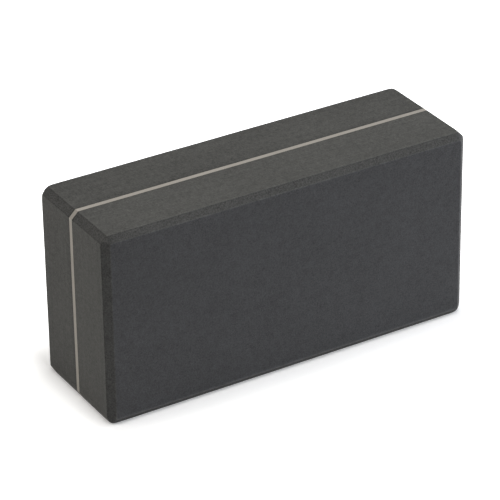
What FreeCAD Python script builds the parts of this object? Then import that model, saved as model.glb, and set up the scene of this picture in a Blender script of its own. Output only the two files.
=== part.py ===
import FreeCAD, Part
import os

# Foam yoga block, standing on one of its long narrow sides.
# A pale foam sheet is glued between two thick dark foam slabs, and the bonded stack is then
# trimmed to size and bevelled along all of its outer edges, so the bevels run across the joints.
# X runs along the length, Y through the layers from front to rear, and Z up.
# The origin is at the centre of the underside. All sizes are in millimetres.

# Trimmed outline
BLOCK_LENGTH = 220.0
BLOCK_HEIGHT = 110.0

# Layers
FOAM_SLAB_THICKNESS = 33.5
PALE_SHEET_THICKNESS = 2.8
GLUE_FILM_THICKNESS = 0.1

# Outer edges: a flat 45 degree bevel, whose own edges are slightly rounded
EDGE_BEVEL = 3.5
BEVEL_EASING_RADIUS = 0.8

# The layers from front to rear, as they are stacked for gluing
LAYERS = [
    ("front_foam_slab", FOAM_SLAB_THICKNESS),
    ("front_glue_film", GLUE_FILM_THICKNESS),
    ("pale_centre_sheet", PALE_SHEET_THICKNESS),
    ("rear_glue_film", GLUE_FILM_THICKNESS),
    ("rear_foam_slab", FOAM_SLAB_THICKNESS),
]
BLOCK_DEPTH = sum(thickness for name, thickness in LAYERS)

PARTS_FOLDER = "parts"


def upright_box(front, depth):
    """A box of the block's length and height that starts at Y = front and is depth thick."""
    corner = FreeCAD.Vector(-BLOCK_LENGTH / 2, front, 0)
    return Part.makeBox(BLOCK_LENGTH, depth, BLOCK_HEIGHT, corner)


def trimmed_block():
    """The outside of the bonded stack: a box with every edge bevelled and every bevel eased."""
    box = upright_box(-BLOCK_DEPTH / 2, BLOCK_DEPTH)
    bevelled = box.makeChamfer(EDGE_BEVEL, box.Edges)
    return bevelled.makeFillet(BEVEL_EASING_RADIUS, bevelled.Edges)


def layers_of(block):
    """Splits the trimmed block at the glue joints, and gives each layer's name and solid."""
    front = -BLOCK_DEPTH / 2
    for name, thickness in LAYERS:
        layer = block.common(upright_box(front, thickness))
        yield name, layer.Solids[0]
        front += thickness


def main():
    os.makedirs(PARTS_FOLDER, exist_ok=True)
    for name, solid in layers_of(trimmed_block()):
        solid.exportStep(os.path.join(PARTS_FOLDER, name + ".step"))
        box = solid.BoundBox
        size = f"{box.XLength:.2f} x {box.YLength:.2f} x {box.ZLength:.2f} mm"
        print(f"{name}: {size}, {solid.Volume / 1000:.1f} cm3, valid {solid.isValid()}")


main()
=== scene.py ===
# Looks of a laminated foam yoga block: dark slabs, a pale centre sheet and the glue films between them.
# The block stands on a long narrow side. X runs along it, Y through the layers and Z up, in metres.
import math

import bpy
from mathutils import Matrix, Vector


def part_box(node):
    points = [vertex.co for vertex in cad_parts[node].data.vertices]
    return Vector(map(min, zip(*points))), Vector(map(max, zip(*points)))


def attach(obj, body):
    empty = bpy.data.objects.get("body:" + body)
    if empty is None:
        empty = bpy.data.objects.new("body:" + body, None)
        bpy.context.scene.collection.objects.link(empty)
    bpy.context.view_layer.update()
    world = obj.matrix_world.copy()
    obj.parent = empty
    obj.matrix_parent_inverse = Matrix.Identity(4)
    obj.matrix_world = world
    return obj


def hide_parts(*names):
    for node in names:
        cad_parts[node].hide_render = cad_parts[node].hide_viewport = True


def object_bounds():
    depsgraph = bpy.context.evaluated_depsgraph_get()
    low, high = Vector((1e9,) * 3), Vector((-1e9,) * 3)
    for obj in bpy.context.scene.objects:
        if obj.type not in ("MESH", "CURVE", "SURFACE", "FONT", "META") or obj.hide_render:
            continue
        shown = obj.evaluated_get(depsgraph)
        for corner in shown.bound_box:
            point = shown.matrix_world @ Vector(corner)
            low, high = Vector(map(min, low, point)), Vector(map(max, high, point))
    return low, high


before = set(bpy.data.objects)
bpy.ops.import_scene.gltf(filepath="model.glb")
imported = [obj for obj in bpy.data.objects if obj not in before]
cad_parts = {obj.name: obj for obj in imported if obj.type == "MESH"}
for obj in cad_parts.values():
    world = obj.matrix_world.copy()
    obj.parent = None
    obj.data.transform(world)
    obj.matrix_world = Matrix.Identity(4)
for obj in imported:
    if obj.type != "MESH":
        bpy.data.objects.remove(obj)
cad_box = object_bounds()
half_length, half_depth, height = cad_box[1]
rear_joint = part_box("rear_foam_slab")[0][1]

MM = 0.001
BODY = "root"

# Outer edges of the block: a flat bevel with slightly rounded borders and a hand-held unevenness. It is
# wider along the four upright edges and over the left end than elsewhere. Around the underside it is
# steeper: it rises further up the sides than it reaches under the block, and it reaches least at the ends.
BEVEL = 3.3 * MM
WIDE_BEVEL = 3.8 * MM
FOOT_RISE = 3.7 * MM
FOOT_REACH = 2.6 * MM
END_FOOT_REACH = 1.9 * MM
BEVEL_EASING = 0.3 * MM
BEVEL_WANDER = 0.12 * MM
BEVEL_WANDER_LENGTH = 28 * MM

# Corners of the block, where three bevels meet: the least sum of the distances to the three faces
CORNER_CUT = 7.3 * MM
FOOT_CORNER_CUT = 5.6 * MM
CORNER_EASING = 1.4 * MM

# Slow unevenness of the foam, which all the layers share so that the joints stay closed
FOAM_WAVE = 0.16 * MM
FOAM_WAVE_LENGTH = 85 * MM

# Mesh spacing: fine in a band along the edges, where the bevels bend, and wider on the faces. Only layers
# over a certain thickness have fine bands through it too.
EDGE_BAND_CELLS = 16
EDGE_BAND_STEP = 0.3 * MM
BANDED_THICKNESS = 20 * MM
SLAB_FACE_STEP = 2.0 * MM
SHEET_FACE_STEP = 3.0 * MM
GLUE_FACE_STEP = 6.0 * MM

# A point this near a broad outer face lies on it, and a mesh edge that turns by more than this looks sharp
ON_FACE = 0.01 * MM
SHARP_ANGLE = math.radians(50)

# Foam and glue colours, linear
SKIN_COLOUR = (0.0322, 0.0327, 0.0355)
CUT_COLOUR = (0.061, 0.0611, 0.057)
BEVEL_COLOUR = (0.0445, 0.0445, 0.0430)
PALE_COLOUR = (0.315, 0.294, 0.263)
GLUE_COLOUR = (0.03, 0.026, 0.021)

# Patterns in the foam and the glue. Their scales are features in a millimetre. The streaks of the knife
# are drawn out along and up the block.
CELLS_PER_MM = 2.6
GRAIN = {"scale": 1.25, "detail": 1.0, "roughness": 0.7}
MOTTLE = {"scale": 0.3, "detail": 1.5, "roughness": 0.7}
DRIFT = {"scale": 0.025}
STREAKS = {"scale": 0.8, "detail": 3.0}
STREAK_STRETCH = (0.02, 1.0, 0.02)
PALE_GRAIN = {"scale": 1.1, "detail": 1.0, "roughness": 0.7}
PALE_DRIFT = {"scale": 0.04}
GLUE_CLOTS = {"scale": 1.5}

# Finishes of the dark foam: skin on the broad faces, knife cuts on the narrow ones, and milled bevels.
# Grain and mottle change the tone by shares of the colour, and the grain's relief is in millimetres.
GRAIN_TONE = {"skin": 2.4, "cut": 1.7, "bevel": 2.3}
MOTTLE_TONE = {"skin": 0.75, "cut": 0.6, "bevel": 0.45}
GRAIN_RELIEF = {"skin": 0.06, "cut": 0.09, "bevel": 0.06}
FOAM_ROUGHNESS = {"skin": 0.68, "cut": 0.78, "bevel": 0.88}
FOAM_SHEEN = 0.2
FOAM_SHEEN_ROUGHNESS = 0.2

# Roughness and relief of the other patterns, the relief in millimetres
PALE_ROUGHNESS = 0.8
GLUE_ROUGHNESS = 0.5
GRAIN_ROUGHENING = 0.2
CLOT_ROUGHENING = 0.3
CELL_RELIEF = 0.05
STREAK_RELIEF = 0.03
PALE_GRAIN_RELIEF = 0.05

# Marks along the borders of the bevels: how far inside its border a mark's middle lies and its half width,
# in millimetres, and how far it lightens the foam, as a share of the colour. The first two are on the broad
# faces, and the others on the narrow ones. The line at the skin's border comes and goes with the mottle.
# The mark at the foot is a painted highlight, where the foot bevels catch the white floor's light.
SKIN_BORDER_LINE = (0.1, 0.9, 0.55)
# Painted highlight on the foot bevels of the broad faces, where they catch the white floor's light
FOOT_PAINTED_HIGHLIGHT = (0.3, 1.4, 0.65)
CUT_BORDER_DARK_LINE = (0.7, 0.8, -0.17)
CUT_BORDER_LIGHT_LINE = (-0.5, 0.7, 0.12)
SKIN_BORDER_EVENLY = 0.7
SKIN_BORDER_BY_MOTTLE = 2.0

# Other changes of tone, as shares of the colour. The rear slab is darker on its cut sides, most of all
# toward the foot, where the darkening is painted shade, and by the joint. The pale sheet is darker on the
# bevels, and its ends are lighter with painted light.
DRIFT_TONE = 0.35
STREAK_TONE = 0.4
REAR_CUT_TONE = -0.06
# Painted shade on the rear slab's cut sides toward the floor
REAR_FOOT_PAINTED_SHADE = -0.09
REAR_JOINT_TONE = -0.13
GLUED_EDGE_TONE = -0.3
LEAST_TONE = 0.2
PALE_GRAIN_TONE = 0.3
PALE_DRIFT_TONE = 0.25
# Painted light on the pale sheet's ends
PALE_END_PAINTED_LIGHT = 0.21
PALE_BEVEL_TONE = -0.17
CLOT_TONE = 0.6

# Where one look passes into another, in millimetres: inside the border of a bevel, up from the floor, away
# from the glue joint, and in from an end of the block
BEVEL_BORDER = (-0.1, 0.25)
FOOT_HIGHLIGHT_TOP = (5.0, 6.0)
FOOT_SHADE = (10.0, 95.0)
JOINT_SHADE = (0.0, 6.0)
GLUED_EDGE = (0.0, 1.2)
PALE_END = (0.4, 1.0)

# The photograph's viewpoint: its direction from the middle of the block, with the azimuth counted from
# straight in front toward the right, then its roll and distance. The middle of the block lies this far
# to the right of the middle of the picture, and this far above it.
VIEW_AZIMUTH = math.radians(-30.92)
VIEW_ELEVATION = math.radians(29.19)
VIEW_ROLL = math.radians(-0.73)
VIEW_DISTANCE = 1.5765
VIEW_ASIDE = 3.77 * MM
VIEW_ABOVE = -0.25 * MM
LENS_MM = 214.0
SENSOR_MM = 36.0

# Studio floor. A glow that the camera sees makes it pure white away from the block. The glow is weak at the
# foot, where the shadow shows, and grows between two distances from it. Beside the ends it is stronger from
# a short way out. Glossy and clear surfaces see a weak and even glow.
FLOOR_SIZE = 12.0
FLOOR_COLOUR = (0.9, 0.9, 0.9)
FLOOR_GLOW_NEAR = 0.225
FLOOR_GLOW_FAR = 1.0
FLOOR_GLOW_GROWTH = (5 * MM, 55 * MM)
FLOOR_GLOW_BESIDE = 0.275
FLOOR_BESIDE_GROWTH = 10 * MM
FLOOR_GLOW_MIRRORED = 0.22

# Each softbox: where it stands, its power and its colour. All of them face the block.
SOFTBOX_SIDE = 0.6
SOFTBOXES = {
    "overhead_softbox": ((0.1, 0.0, 1.15), 6.0, (1.013, 1.0, 0.98)),
    "upper_left_softbox": ((-0.66, 0.0, 0.935), 3.6, (1.04, 1.0, 0.94)),
    "upper_front_softbox": ((0.03, -0.66, 0.935), 3.14, (0.986, 1.0, 1.02)),
    "left_rear_softbox": ((-0.81, 0.70, 0.325), 1.67, (1.04, 1.0, 0.94)),
    "right_softbox": ((0.82, -0.18, 0.28), 5.85, (0.958, 1.0, 1.064)),
}


# Node and object building


class Field:
    """A node socket that takes plain arithmetic: each operation adds one Math node to its tree."""

    def __init__(self, tree, socket):
        self.tree = tree
        self.socket = socket

    def math(self, operation, *others):
        return math_node(self.tree, operation, self, *others)

    def __add__(self, other):
        return self.math("ADD", other)

    def __sub__(self, other):
        return self.math("SUBTRACT", other)

    def __mul__(self, other):
        return self.math("MULTIPLY", other)

    def __truediv__(self, other):
        return self.math("DIVIDE", other)

    def __rsub__(self, other):
        return math_node(self.tree, "SUBTRACT", other, self)

    def __rtruediv__(self, other):
        return math_node(self.tree, "DIVIDE", other, self)

    __radd__ = __add__
    __rmul__ = __mul__


def plug(tree, socket, value):
    """Links a field or a socket into an input, or writes a plain value or a colour there."""
    if isinstance(value, Field):
        value = value.socket
    if isinstance(value, bpy.types.NodeSocket):
        tree.links.new(value, socket)
    elif socket.type == "RGBA":
        socket.default_value = (*value, 1.0)
    else:
        socket.default_value = value


def add_node(tree, kind, inputs=None, **settings):
    """Adds a node, sets its properties and fills the inputs that are named or numbered."""
    node = tree.nodes.new(kind)
    for name, value in settings.items():
        setattr(node, name, value)
    for key, value in (inputs or {}).items():
        plug(tree, node.inputs[key], value)
    return node


def math_node(tree, operation, *values):
    node = add_node(tree, "ShaderNodeMath", dict(enumerate(values)), operation=operation)
    return Field(tree, node.outputs[0])


def smaller(a, b):
    return a.math("MINIMUM", b)


def larger(a, b):
    return a.math("MAXIMUM", b)


def size_of(a):
    return a.math("ABSOLUTE")


def ramp(field, low, high):
    """Rises smoothly from 0 at low to 1 at high."""
    inputs = {"Value": field, "From Min": low, "From Max": high}
    node = add_node(field.tree, "ShaderNodeMapRange", inputs, interpolation_type="SMOOTHSTEP")
    return Field(field.tree, node.outputs["Result"])


def line(field, middle, half_width):
    """A soft line: 1 where the field is at middle, and 0 past half_width on either side."""
    return 1 - ramp(size_of(field - middle), 0.0, half_width)


def vector_math(tree, operation, a, b):
    return add_node(tree, "ShaderNodeVectorMath", {0: a, 1: b}, operation=operation).outputs[0]


def vector_of(tree, x, y, z):
    return add_node(tree, "ShaderNodeCombineXYZ", {0: x, 1: y, 2: z}).outputs[0]


def parts_of(tree, vector):
    return [Field(tree, socket) for socket in add_node(tree, "ShaderNodeSeparateXYZ", {0: vector}).outputs]


def noise(tree, vector, scale, detail=2.0, roughness=0.5):
    """A smooth noise texture, whose values lie around 0.5."""
    inputs = {"Vector": vector, "Scale": scale, "Detail": detail, "Roughness": roughness}
    return add_node(tree, "ShaderNodeTexNoise", inputs)


def noise_about_zero(tree, vector, scale, detail=2.0, roughness=0.5):
    return Field(tree, noise(tree, vector, scale, detail, roughness).outputs["Fac"]) - 0.5


def new_object(name, data):
    """Puts a new object with this data in the scene, at the origin."""
    thing = bpy.data.objects.new(name, data)
    bpy.context.collection.objects.link(thing)
    return thing


# Shape of one layer


LAYER_INPUTS = {
    "NodeSocketFloat": (
        "Length", "Height", "Depth", "Front", "Rear",
        "Bevel", "Wide Bevel", "Foot Rise", "Foot Reach", "End Foot Reach", "Easing",
        "Corner Cut", "Foot Corner Cut", "Corner Easing",
        "Wander", "Wander Length", "Wave", "Wave Length", "Band Step",
    ),
    "NodeSocketInt": ("Band Cells", "Band Cells Through", "Cells Along", "Cells Through", "Cells Up"),
    "NodeSocketMaterial": ("Material",),
}


def layer_inputs(tree):
    """Gives the tree its named inputs, and returns each as a field."""
    names = [name for group in LAYER_INPUTS.values() for name in group]
    for kind, group in LAYER_INPUTS.items():
        for name in group:
            tree.interface.new_socket(name, in_out="INPUT", socket_type=kind)
    given = add_node(tree, "NodeGroupInput").outputs
    return {name: Field(tree, given[name]) for name in names}


def from_nearer_end(unit, cells, extent, band_cells, band_step):
    """Distance from the nearer end of an axis: fine steps in its band, and even steps past it."""
    cell = (unit + 0.5) * cells
    cells_in = smaller(cell, cells - cell)
    face_step = (extent - 2 * band_cells * band_step) / (cells - 2 * band_cells)
    return smaller(cells_in, band_cells) * band_step + larger(cells_in - band_cells, 0.0) * face_step


def waved(tree, size, point):
    """Moves a point by the foam's slow unevenness.

    The underside keeps its height, because the block stands on it.
    """
    sway = noise(tree, point, 1 / size["Wave Length"]).outputs["Color"]
    level = parts_of(tree, point)[2] / size["Height"]
    reach = 2 * size["Wave"]
    sway = vector_math(tree, "SUBTRACT", sway, (0.5, 0.5, 0.5))
    sway = vector_math(tree, "MULTIPLY", sway, vector_of(tree, reach, reach, reach * level))
    return vector_math(tree, "ADD", point, sway)


def passed_on(tree, kind, geometry, inputs=None, **settings):
    """Passes a geometry through one more node."""
    node = add_node(tree, kind, {"Geometry": geometry, **(inputs or {})}, **settings)
    return node.outputs["Geometry"]


def finished_layer(tree, geometry, point, attributes, material):
    """Moves the grid's points into place, and gives the mesh its attributes, shading and material."""
    for name, value in attributes.items():
        inputs = {"Name": name, "Value": value}
        geometry = passed_on(tree, "GeometryNodeStoreNamedAttribute", geometry, inputs)
    geometry = passed_on(tree, "GeometryNodeSetPosition", geometry, {"Position": point})
    angle = Field(tree, add_node(tree, "GeometryNodeInputMeshEdgeAngle").outputs["Unsigned Angle"])
    sharp = angle.math("GREATER_THAN", SHARP_ANGLE)
    for domain, chosen, smooth in (("FACE", True, True), ("EDGE", sharp, False)):
        inputs = {"Selection": chosen, "Shade Smooth": smooth}
        geometry = passed_on(tree, "GeometryNodeSetShadeSmooth", geometry, inputs, domain=domain)
    geometry = passed_on(tree, "GeometryNodeRealizeInstances", geometry)
    return passed_on(tree, "GeometryNodeSetMaterial", geometry, {"Material": material})


def bevelled_layer_tree():
    """Geometry Nodes for one layer of the trimmed block, between two planes across its depth.

    The points of a box grid are spaced out to the layer's size, and those near an outer edge of the whole
    block are pushed in to the bevel. The mesh keeps two attributes: "bevel" is how far a point lies inside
    the border of the nearest bevel, in metres, and "skin" is 1 on the broad outer faces.
    """
    tree = bpy.data.node_groups.new("bevelled_foam_layer", "GeometryNodeTree")
    tree.interface.new_socket("Layer", in_out="OUTPUT", socket_type="NodeSocketGeometry")
    size = layer_inputs(tree)
    grid = add_node(tree, "GeometryNodeMeshCube", {
        "Size": (1, 1, 1),
        "Vertices X": size["Cells Along"] + 1,
        "Vertices Y": size["Cells Through"] + 1,
        "Vertices Z": size["Cells Up"] + 1,
    })
    unit_x, unit_y, unit_z = parts_of(tree, add_node(tree, "GeometryNodeInputPosition").outputs[0])

    # Distances of the grid's points from the nearest faces of the block
    step = size["Band Step"]
    thickness = size["Rear"] - size["Front"]
    in_layer = from_nearer_end(unit_y, size["Cells Through"], thickness, size["Band Cells Through"], step)
    middle = (size["Rear"] + size["Front"]) / 2
    across = middle + unit_y.math("SIGN") * (thickness / 2 - in_layer)
    gap_x = from_nearer_end(unit_x, size["Cells Along"], size["Length"], size["Band Cells"], step)
    gap_y = size["Depth"] / 2 - size_of(across)
    gap_z = from_nearer_end(unit_z, size["Cells Up"], size["Height"], size["Band Cells"], step)

    def point_at(inset_x, inset_y, inset_z):
        """The point that lies these distances inside the nearest faces of the block."""
        x = unit_x.math("SIGN") * (size["Length"] / 2 - inset_x)
        y = across.math("SIGN") * (size["Depth"] / 2 - inset_y)
        z = size["Height"] / 2 + unit_z.math("SIGN") * (size["Height"] / 2 - inset_z)
        return vector_of(tree, x, y, z)

    # Each bevel's rise on the upright faces, and its run: how far it reaches in for each step of the rise
    below = unit_z.math("LESS_THAN", 0.0)
    left = unit_x.math("LESS_THAN", 0.0)

    def by_half(foot, top):
        """One value on the lower half of the block, and another on the upper half."""
        return top + below * (foot - top)

    end_top = size["Bevel"] + left * (size["Wide Bevel"] - size["Bevel"])
    end_rise = by_half(size["Foot Rise"], end_top)
    end_run = by_half(size["End Foot Reach"] / size["Foot Rise"], 1.0)
    long_rise = by_half(size["Foot Rise"], size["Bevel"])
    long_run = by_half(size["Foot Reach"] / size["Foot Rise"], 1.0)

    # How far a point lies inside the bevels of the upright edges, the end edges and the long edges
    wander = noise_about_zero(tree, point_at(gap_x, gap_y, gap_z), 1 / size["Wander Length"])
    uneven = 2 * size["Wander"] * wander
    inside_upright = size["Wide Bevel"] + uneven - gap_x - gap_y
    inside_end = end_run * (end_rise - gap_z) + uneven - gap_x
    inside_long = long_run * (long_rise - gap_z) + uneven - gap_y

    # Points of the glued faces are spread out behind the end bevels, so that no face folds up there
    band_depth = size["Band Cells"] * step
    glued = gap_y.math("GREATER_THAN", band_depth)
    behind_end = glued * smaller(gap_x, gap_z / end_run)
    fading = larger(1 - behind_end / band_depth, 0.0)

    def pushed(inside, run, behind=0.0):
        """How far a point moves sideways, square to a bevel of this run.

        It moves up or down by run times as much.
        """
        return (inside / (1 + run * run) + behind).math("SMOOTH_MAX", 0.0, size["Easing"])

    push_upright = pushed(inside_upright, 1.0)
    push_end = pushed(inside_end, end_run, behind_end) * fading
    push_long = pushed(inside_long, long_run)
    inset_x = gap_x + larger(push_upright, push_end)
    inset_y = gap_y + larger(push_upright, push_long)
    inset_z = gap_z + larger(end_run * push_end, long_run * push_long)
    corner_cut = by_half(size["Foot Corner Cut"], size["Corner Cut"])
    inside_corner = corner_cut - inset_x - inset_y - inset_z
    push_corner = (inside_corner / 3).math("SMOOTH_MAX", 0.0, size["Corner Easing"])
    bevelled_point = point_at(inset_x + push_corner, inset_y + push_corner, inset_z + push_corner)

    deepest = larger(larger(inside_upright, inside_end), larger(inside_long, inside_corner))
    attributes = {"bevel": deepest, "skin": gap_y.math("LESS_THAN", ON_FACE)}
    foam_point = waved(tree, size, bevelled_point)
    layer = finished_layer(tree, grid.outputs["Mesh"], foam_point, attributes, size["Material"])
    add_node(tree, "NodeGroupOutput", {"Layer": layer})
    return tree


def cell_count(extent, face_step, band_cells):
    """Cells along an axis that has a fine band at both ends and cells of about the face step between."""
    between = extent - 2 * band_cells * EDGE_BAND_STEP
    return 2 * band_cells + max(1, round(between / face_step))


def foam_layer(tree, node, material, face_step):
    """Makes the piece that stands for one CAD layer, as a plain mesh."""
    low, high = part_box(node)
    length = 2 * half_length
    thickness = high[1] - low[1]
    band_through = EDGE_BAND_CELLS if thickness > BANDED_THICKNESS else 0
    inputs = {
        "Length": length,
        "Height": height,
        "Depth": 2 * half_depth,
        "Front": low[1],
        "Rear": high[1],
        "Bevel": BEVEL,
        "Wide Bevel": WIDE_BEVEL,
        "Foot Rise": FOOT_RISE,
        "Foot Reach": FOOT_REACH,
        "End Foot Reach": END_FOOT_REACH,
        "Easing": BEVEL_EASING,
        "Corner Cut": CORNER_CUT,
        "Foot Corner Cut": FOOT_CORNER_CUT,
        "Corner Easing": CORNER_EASING,
        "Wander": BEVEL_WANDER,
        "Wander Length": BEVEL_WANDER_LENGTH,
        "Wave": FOAM_WAVE,
        "Wave Length": FOAM_WAVE_LENGTH,
        "Band Step": EDGE_BAND_STEP,
        "Band Cells": EDGE_BAND_CELLS,
        "Band Cells Through": band_through,
        "Cells Along": cell_count(length, face_step, EDGE_BAND_CELLS),
        "Cells Through": cell_count(thickness, face_step, band_through),
        "Cells Up": cell_count(height, face_step, EDGE_BAND_CELLS),
        "Material": material,
    }
    piece = new_object(node + "_piece", bpy.data.meshes.new("start"))
    modifier = piece.modifiers.new("layer", "NODES")
    modifier.node_group = tree
    for socket in tree.interface.items_tree:
        if socket.in_out == "INPUT":
            modifier[socket.identifier] = inputs[socket.name]
    evaluated = piece.evaluated_get(bpy.context.evaluated_depsgraph_get())
    mesh = bpy.data.meshes.new_from_object(evaluated)
    piece.modifiers.remove(modifier)
    piece.data = mesh
    mesh.name = piece.name
    return piece


# Materials


def cleared_tree(owner):
    """The node tree of a material or a world, emptied."""
    owner.use_nodes = True
    owner.node_tree.nodes.clear()
    return owner.node_tree


def new_surface(name):
    """A material with one Principled shader: returns the material, its tree and the shader."""
    material = bpy.data.materials.new(name)
    tree = cleared_tree(material)
    shader = add_node(tree, "ShaderNodeBsdfPrincipled")
    add_node(tree, "ShaderNodeOutputMaterial", {"Surface": shader.outputs[0]})
    return material, tree, shader


def millimetres(tree):
    """Object coordinates in millimetres."""
    where = add_node(tree, "ShaderNodeTexCoord").outputs["Object"]
    return vector_math(tree, "MULTIPLY", where, (1 / MM, 1 / MM, 1 / MM))


def attribute(tree, name):
    return Field(tree, add_node(tree, "ShaderNodeAttribute", attribute_name=name).outputs["Fac"])


def inside_border(tree):
    """How far a place lies inside the border of the nearest bevel, in millimetres."""
    return attribute(tree, "bevel") * (1 / MM)


def blend(tree, factor, first, second):
    """A colour that goes from first to second as the factor goes from 0 to 1."""
    inputs = {"Factor": factor, 6: first, 7: second}
    return add_node(tree, "ShaderNodeMix", inputs, data_type="RGBA").outputs[2]


def toned(tree, colour, tone):
    """A colour multiplied by a tone around 1."""
    return add_node(tree, "ShaderNodeVectorMath", {0: colour, "Scale": tone}, operation="SCALE").outputs[0]


def bumped(tree, height_mm):
    """A normal bent by a height in millimetres."""
    inputs = {"Height": height_mm, "Distance": MM, "Strength": 1.0}
    return add_node(tree, "ShaderNodeBump", inputs).outputs["Normal"]


def foam_cells(tree, place):
    """Cut foam cells: about 0 in the hollow of each cell and up to 1 on the walls between them."""
    inputs = {"Vector": place, "Scale": CELLS_PER_MM}
    node = add_node(tree, "ShaderNodeTexVoronoi", inputs, feature="F1")
    return Field(tree, node.outputs["Distance"])


def charcoal_foam():
    """Dark closed-cell foam: leathery skin on the broad faces, knife-cut sides and milled bevels."""
    material, tree, shader = new_surface("charcoal_foam_finish")
    place = millimetres(tree)
    _, through, up = parts_of(tree, place)
    inside = inside_border(tree)
    broad = attribute(tree, "skin")
    on_bevel = ramp(inside, *BEVEL_BORDER)
    skin = broad * (1 - on_bevel)
    cut = (1 - broad) * (1 - on_bevel)
    rear = through.math("GREATER_THAN", 0.0)
    from_joint = size_of(through) - rear_joint / MM

    def by_finish(values):
        """A value of its own on the skin, on knife-cut foam and on the bevels."""
        return values["skin"] * skin + values["cut"] * cut + values["bevel"] * on_bevel

    def mark(middle, half_width, tone):
        """The tone of a soft line along the borders of the bevels."""
        return tone * line(inside, middle, half_width)

    cells = foam_cells(tree, place)
    grain = noise_about_zero(tree, place, **GRAIN)
    mottle = noise_about_zero(tree, place, **MOTTLE)
    drift = noise_about_zero(tree, place, **DRIFT)
    streaks = noise_about_zero(tree, vector_math(tree, "MULTIPLY", place, STREAK_STRETCH), **STREAKS)

    # A lighter line along the skin's border of the bevels, which comes and goes with the mottle
    skin_border_line = mark(*SKIN_BORDER_LINE) * (SKIN_BORDER_EVENLY + SKIN_BORDER_BY_MOTTLE * mottle)
    # Painted highlight on the foot bevels of the broad faces, fading out above the foot
    foot_painted_highlight = mark(*FOOT_PAINTED_HIGHLIGHT) * (1 - ramp(up, *FOOT_HIGHLIGHT_TOP))
    # Painted shade: the rear slab's cut sides darken toward the floor
    painted_foot_shade = REAR_FOOT_PAINTED_SHADE * (1 - ramp(up, *FOOT_SHADE))
    joint_shade = REAR_JOINT_TONE * (1 - ramp(from_joint, *JOINT_SHADE))
    glued_edge = GLUED_EDGE_TONE * (1 - ramp(from_joint, *GLUED_EDGE))

    tone = 1 + by_finish(GRAIN_TONE) * grain + by_finish(MOTTLE_TONE) * mottle
    tone = tone + DRIFT_TONE * drift + STREAK_TONE * streaks * cut
    tone = tone + broad * (skin_border_line + foot_painted_highlight)
    tone = tone + (1 - broad) * (mark(*CUT_BORDER_DARK_LINE) + mark(*CUT_BORDER_LIGHT_LINE))
    tone = tone + rear * ((REAR_CUT_TONE + painted_foot_shade) * cut + joint_shade) + glued_edge
    colour = blend(tree, skin, CUT_COLOUR, SKIN_COLOUR)
    colour = blend(tree, on_bevel, colour, BEVEL_COLOUR)
    relief = CELL_RELIEF * cells + by_finish(GRAIN_RELIEF) * grain + STREAK_RELIEF * streaks

    plug(tree, shader.inputs["Base Color"], toned(tree, colour, larger(tone, LEAST_TONE)))
    plug(tree, shader.inputs["Roughness"], by_finish(FOAM_ROUGHNESS) + GRAIN_ROUGHENING * grain)
    plug(tree, shader.inputs["Sheen Weight"], FOAM_SHEEN)
    plug(tree, shader.inputs["Sheen Roughness"], FOAM_SHEEN_ROUGHNESS)
    plug(tree, shader.inputs["Normal"], bumped(tree, relief))
    return material


def pale_foam():
    """Pale beige-grey closed-cell foam, cut through at the block's outside."""
    material, tree, shader = new_surface("pale_foam_finish")
    place = millimetres(tree)
    along, _, _ = parts_of(tree, place)
    on_bevel = ramp(inside_border(tree), *BEVEL_BORDER)
    at_end = 1 - ramp(half_length / MM - size_of(along), *PALE_END)
    cells = foam_cells(tree, place)
    grain = noise_about_zero(tree, place, **PALE_GRAIN)
    drift = noise_about_zero(tree, place, **PALE_DRIFT)
    tone = 1 + PALE_GRAIN_TONE * grain + PALE_DRIFT_TONE * drift
    # Painted light: the pale sheet is lighter on the block's ends, off the bevels
    tone = tone + PALE_END_PAINTED_LIGHT * at_end * (1 - on_bevel) + PALE_BEVEL_TONE * on_bevel
    relief = CELL_RELIEF * cells + PALE_GRAIN_RELIEF * grain
    plug(tree, shader.inputs["Base Color"], toned(tree, PALE_COLOUR, tone))
    plug(tree, shader.inputs["Roughness"], PALE_ROUGHNESS + GRAIN_ROUGHENING * grain)
    plug(tree, shader.inputs["Normal"], bumped(tree, relief))
    return material


def contact_glue():
    """Dried contact glue, seen only as a hairline along each joint."""
    material, tree, shader = new_surface("contact_glue_finish")
    clots = noise_about_zero(tree, millimetres(tree), **GLUE_CLOTS)
    plug(tree, shader.inputs["Base Color"], toned(tree, GLUE_COLOUR, 1 + CLOT_TONE * clots))
    plug(tree, shader.inputs["Roughness"], GLUE_ROUGHNESS + CLOT_ROUGHENING * clots)
    return material


def studio_floor():
    """White floor with the block's shadow on it, pure white to the camera away from the block."""
    material = bpy.data.materials.new("studio_floor")
    tree = cleared_tree(material)
    path = add_node(tree, "ShaderNodeLightPath").outputs
    to_camera = Field(tree, path["Is Camera Ray"])
    mirrored = larger(Field(tree, path["Is Glossy Ray"]), Field(tree, path["Is Transmission Ray"]))
    x, y, _ = parts_of(tree, add_node(tree, "ShaderNodeTexCoord").outputs["Object"])
    aside = larger(size_of(x) - (half_length - END_FOOT_REACH), 0.0)
    ahead = larger(size_of(y) - (half_depth - FOOT_REACH), 0.0)
    away = ramp((aside * aside + ahead * ahead).math("SQRT"), *FLOOR_GLOW_GROWTH)
    beside = FLOOR_GLOW_BESIDE * smaller(aside / FLOOR_BESIDE_GROWTH, 1.0)
    shown = (FLOOR_GLOW_NEAR + beside) * (1 - away) + FLOOR_GLOW_FAR * away
    strength = shown * to_camera + FLOOR_GLOW_MIRRORED * mirrored
    paint = add_node(tree, "ShaderNodeBsdfDiffuse", {"Color": FLOOR_COLOUR}).outputs[0]
    glow = add_node(tree, "ShaderNodeEmission", {"Strength": strength}).outputs[0]
    both = add_node(tree, "ShaderNodeAddShader", {0: paint, 1: glow}).outputs[0]
    add_node(tree, "ShaderNodeOutputMaterial", {"Surface": both})
    return material


# Pieces


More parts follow.
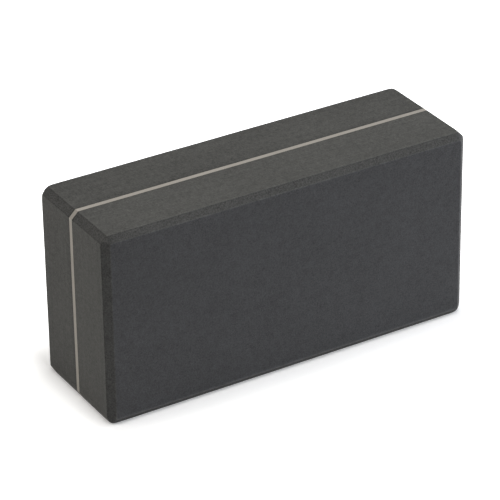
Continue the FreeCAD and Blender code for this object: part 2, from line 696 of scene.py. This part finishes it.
LAYERS = (
    ("front_foam_slab", "charcoal_foam", SLAB_FACE_STEP),
    ("front_glue_film", "contact_glue", GLUE_FACE_STEP),
    ("pale_centre_sheet", "pale_foam", SHEET_FACE_STEP),
    ("rear_glue_film", "contact_glue", GLUE_FACE_STEP),
    ("rear_foam_slab", "charcoal_foam", SLAB_FACE_STEP),
)


def build_block():
    """Builds the layers from front to rear, and puts each in place of its CAD node."""
    tree = bevelled_layer_tree()
    finishes = {"charcoal_foam": charcoal_foam(), "pale_foam": pale_foam(), "contact_glue": contact_glue()}
    for node, slot, face_step in LAYERS:
        piece = foam_layer(tree, node, finishes[slot], face_step)
        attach(piece, BODY)
        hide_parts(node)


# Studio


def build_floor():
    half = FLOOR_SIZE / 2
    mesh = bpy.data.meshes.new("floor")
    corners = [(-half, -half, 0), (half, -half, 0), (half, half, 0), (-half, half, 0)]
    mesh.from_pydata(corners, [], [(0, 1, 2, 3)])
    mesh.materials.append(studio_floor())
    floor = new_object("floor", mesh)


def build_world():
    """White where the camera looks past the floor. The softboxes give all the light on the block."""
    world = bpy.data.worlds.new("studio")
    tree = cleared_tree(world)
    path = add_node(tree, "ShaderNodeLightPath").outputs
    seen = larger(Field(tree, path["Is Camera Ray"]), Field(tree, path["Is Transmission Ray"]))
    inputs = {"Color": (1, 1, 1), "Strength": seen}
    sky = add_node(tree, "ShaderNodeBackground", inputs).outputs[0]
    add_node(tree, "ShaderNodeOutputWorld", {"Surface": sky})
    bpy.context.scene.world = world


def build_softboxes(target):
    for name, (place, power, colour) in SOFTBOXES.items():
        lamp = bpy.data.lights.new(name, "AREA")
        lamp.shape = "SQUARE"
        lamp.size = SOFTBOX_SIDE
        lamp.energy = power
        lamp.color = colour
        softbox = new_object(name, lamp)
        softbox.location = place
        softbox.rotation_euler = (target - Vector(place)).to_track_quat("-Z", "Y").to_euler()


def build_camera(target):
    """A long lens at the photograph's viewing angle, with its slight roll."""
    back = Vector((
        math.sin(VIEW_AZIMUTH) * math.cos(VIEW_ELEVATION),
        -math.cos(VIEW_AZIMUTH) * math.cos(VIEW_ELEVATION),
        math.sin(VIEW_ELEVATION),
    ))
    level = Vector((math.cos(VIEW_AZIMUTH), math.sin(VIEW_AZIMUTH), 0))
    right = Matrix.Rotation(VIEW_ROLL, 3, back) @ level
    up = back.cross(right)
    data = bpy.data.cameras.new("camera")
    data.lens = LENS_MM
    data.sensor_width = SENSOR_MM
    camera = new_object("camera", data)
    place = target + VIEW_DISTANCE * back - VIEW_ASIDE * right - VIEW_ABOVE * up
    camera.matrix_world = Matrix.Translation(place) @ Matrix((right, up, back)).transposed().to_4x4()
    bpy.context.scene.camera = camera


block_middle = (Vector(cad_box[0]) + Vector(cad_box[1])) / 2
build_block()
build_floor()
build_world()
build_softboxes(block_middle)
build_camera(block_middle)
bpy.context.scene.view_settings.view_transform = "Standard"
